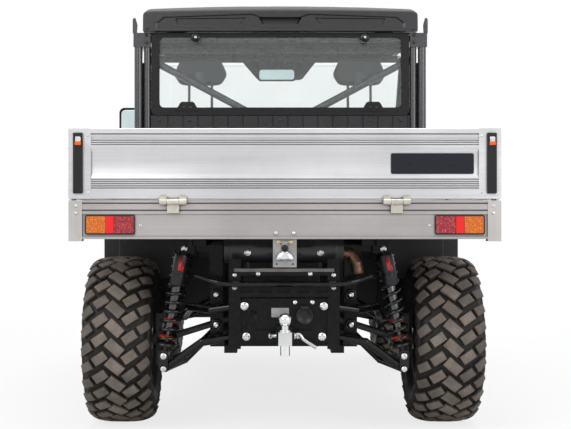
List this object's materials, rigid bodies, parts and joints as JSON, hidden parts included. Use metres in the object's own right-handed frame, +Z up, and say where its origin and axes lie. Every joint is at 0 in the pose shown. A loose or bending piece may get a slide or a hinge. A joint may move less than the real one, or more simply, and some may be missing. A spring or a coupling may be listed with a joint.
{
  "type": "side-by-side utility vehicle",
  "caption": "Open-cab side-by-side utility vehicle with a tipping aluminium drop-side tray, half doors, hood, steered front wheels and a tow hitch.",
  "frame": {"origin": "on the floor under the middle of the vehicle's outer box", "axes": "+Y forward, +X to the vehicle's right, +Z up"},
  "size_m": [1.668, 3.175, 1.85],
  "materials": {
    "frame_paint": "satin black powder coat, dusty",
    "body_plastic": "moulded charcoal plastic",
    "black_plastic": "textured black",
    "tray_aluminium": "satin extruded aluminium",
    "beam_aluminium": "dull grey aluminium",
    "galvanised": "galvanised steel",
    "cast_metal": "bare casting",
    "bright_steel": "chrome plated",
    "tyre_rubber": "dusty tread",
    "rim_paint": "satin black",
    "window_glass": "green tinted",
    "lamp_red": "clear red lens",
    "lamp_clear": "clear lens",
    "seat_cover": "grained black vinyl"
  },
  "bodies": {
    "chassis": {"chassis_frame": "frame_paint", "rear_bulkhead": "frame_paint", "engine": "cast_metal", "final_drives": "cast_metal", "muffler": "frame_paint", "roll_cage": "frame_paint", "cab_tub": "body_plastic", "rear_fenders": "body_plastic", "rear_panel": "body_plastic", "rear_window_frame": "black_plastic", "rear_window": "window_glass", "windscreen": "window_glass", "roof": "body_plastic", "dashboard": "black_plastic", "seats": "seat_cover", "headrests": "seat_cover", "interior_mirror": "black_plastic", "side_mirror": "black_plastic", "front_body": "body_plastic", "grille": "black_plastic", "headlamps": "lamp_clear", "front_bumper": "frame_paint", "rear_arms": "frame_paint", "front_arms": "frame_paint", "coil_overs": "frame_paint", "rear_knuckles": "cast_metal", "half_shafts": "cast_metal", "sway_bar": "frame_paint", "tow_hitch": "frame_paint", "tow_ball": "bright_steel"},
    "tray": {"tray_deck": "tray_aluminium", "rear_beam": "beam_aluminium", "headboard": "tray_aluminium", "tail_lamps": "lamp_red", "plate_bracket": "galvanised"},
    "gate": {"tailgate": "tray_aluminium", "tailgate_latches": "black_plastic"},
    "left_side": {"left_drop_side": "tray_aluminium"},
    "right_side": {"right_drop_side": "tray_aluminium"},
    "left_door_body": {"left_door": "body_plastic"},
    "right_door_body": {"right_door": "body_plastic"},
    "hood_body": {"hood": "body_plastic"},
    "steering_wheel_body": {"steering_wheel": "black_plastic"},
    "rack": {"steering_rack": "cast_metal"},
    "left_knuckle": {"front_left_knuckle": "cast_metal"},
    "right_knuckle": {"front_right_knuckle": "cast_metal"},
    "front_left_wheel": {"front_left_tyre": "tyre_rubber", "front_left_rim": "rim_paint"},
    "front_right_wheel": {"front_right_tyre": "tyre_rubber", "front_right_rim": "rim_paint"},
    "rear_left_wheel": {"rear_left_tyre": "tyre_rubber", "rear_left_rim": "rim_paint"},
    "rear_right_wheel": {"rear_right_tyre": "tyre_rubber", "rear_right_rim": "rim_paint"}
  },
  "joints": [
    {"name": "rear_left_spin", "type": "hinge", "parent": "chassis", "child": "rear_left_wheel", "pos_m": [-0.66, -0.98, 0.343], "axis": [1, 0, 0], "continuous": true},
    {"name": "rear_right_spin", "type": "hinge", "parent": "chassis", "child": "rear_right_wheel", "pos_m": [0.66, -0.98, 0.343], "axis": [1, 0, 0], "continuous": true},
    {"name": "left_steer", "type": "hinge", "parent": "chassis", "child": "left_knuckle", "pos_m": [-0.59, 1.05, 0.343], "axis": [0, 0, 1], "range_deg": [-30, 30]},
    {"name": "right_steer", "type": "hinge", "parent": "chassis", "child": "right_knuckle", "pos_m": [0.59, 1.05, 0.343], "axis": [0, 0, 1], "range_deg": [-30, 30]},
    {"name": "front_left_spin", "type": "hinge", "parent": "left_knuckle", "child": "front_left_wheel", "pos_m": [-0.685, 1.05, 0.343], "axis": [1, 0, 0], "continuous": true},
    {"name": "front_right_spin", "type": "hinge", "parent": "right_knuckle", "child": "front_right_wheel", "pos_m": [0.685, 1.05, 0.343], "axis": [1, 0, 0], "continuous": true},
    {"name": "rack_slide", "type": "slide", "parent": "chassis", "child": "rack", "axis": [1, 0, 0], "range_m": [-0.066, 0.066]},
    {"name": "steering_wheel_turn", "type": "hinge", "parent": "chassis", "child": "steering_wheel_body", "pos_m": [-0.34, 0.31, 1.115], "axis": [0, -0.8191, 0.5736], "range_deg": [-270, 270]},
    {"name": "tray_tip", "type": "hinge", "parent": "chassis", "child": "tray", "pos_m": [0, -1.39, 0.8], "axis": [1, 0, 0], "range_deg": [0, 36]},
    {"name": "tailgate_drop", "type": "hinge", "parent": "tray", "child": "gate", "pos_m": [0, -1.544, 0.908], "axis": [-1, 0, 0], "range_deg": [-175, 0]},
    {"name": "left_side_drop", "type": "hinge", "parent": "tray", "child": "left_side", "pos_m": [-0.812, -0.955, 0.908], "axis": [0, 1, 0], "range_deg": [-175, 0]},
    {"name": "right_side_drop", "type": "hinge", "parent": "tray", "child": "right_side", "pos_m": [0.812, -0.955, 0.908], "axis": [0, -1, 0], "range_deg": [-175, 0]},
    {"name": "left_door_open", "type": "hinge", "parent": "chassis", "child": "left_door_body", "pos_m": [-0.742, 0.611, 0.75], "axis": [0, 0, -1], "range_deg": [0, 70]},
    {"name": "right_door_open", "type": "hinge", "parent": "chassis", "child": "right_door_body", "pos_m": [0.742, 0.611, 0.75], "axis": [0, 0, 1], "range_deg": [0, 70]},
    {"name": "hood_open", "type": "hinge", "parent": "chassis", "child": "hood_body", "pos_m": [0, 0.819, 1.128], "axis": [1, 0, 0], "range_deg": [0, 50]}
  ],
  "couplings": [
    {"joint": "right_steer", "follows": "left_steer", "ratio": 1},
    {"joint": "rack_slide", "follows": "left_steer", "m_per_rad": 0.125},
    {"joint": "steering_wheel_turn", "follows": "left_steer", "ratio": 9}
  ]
}
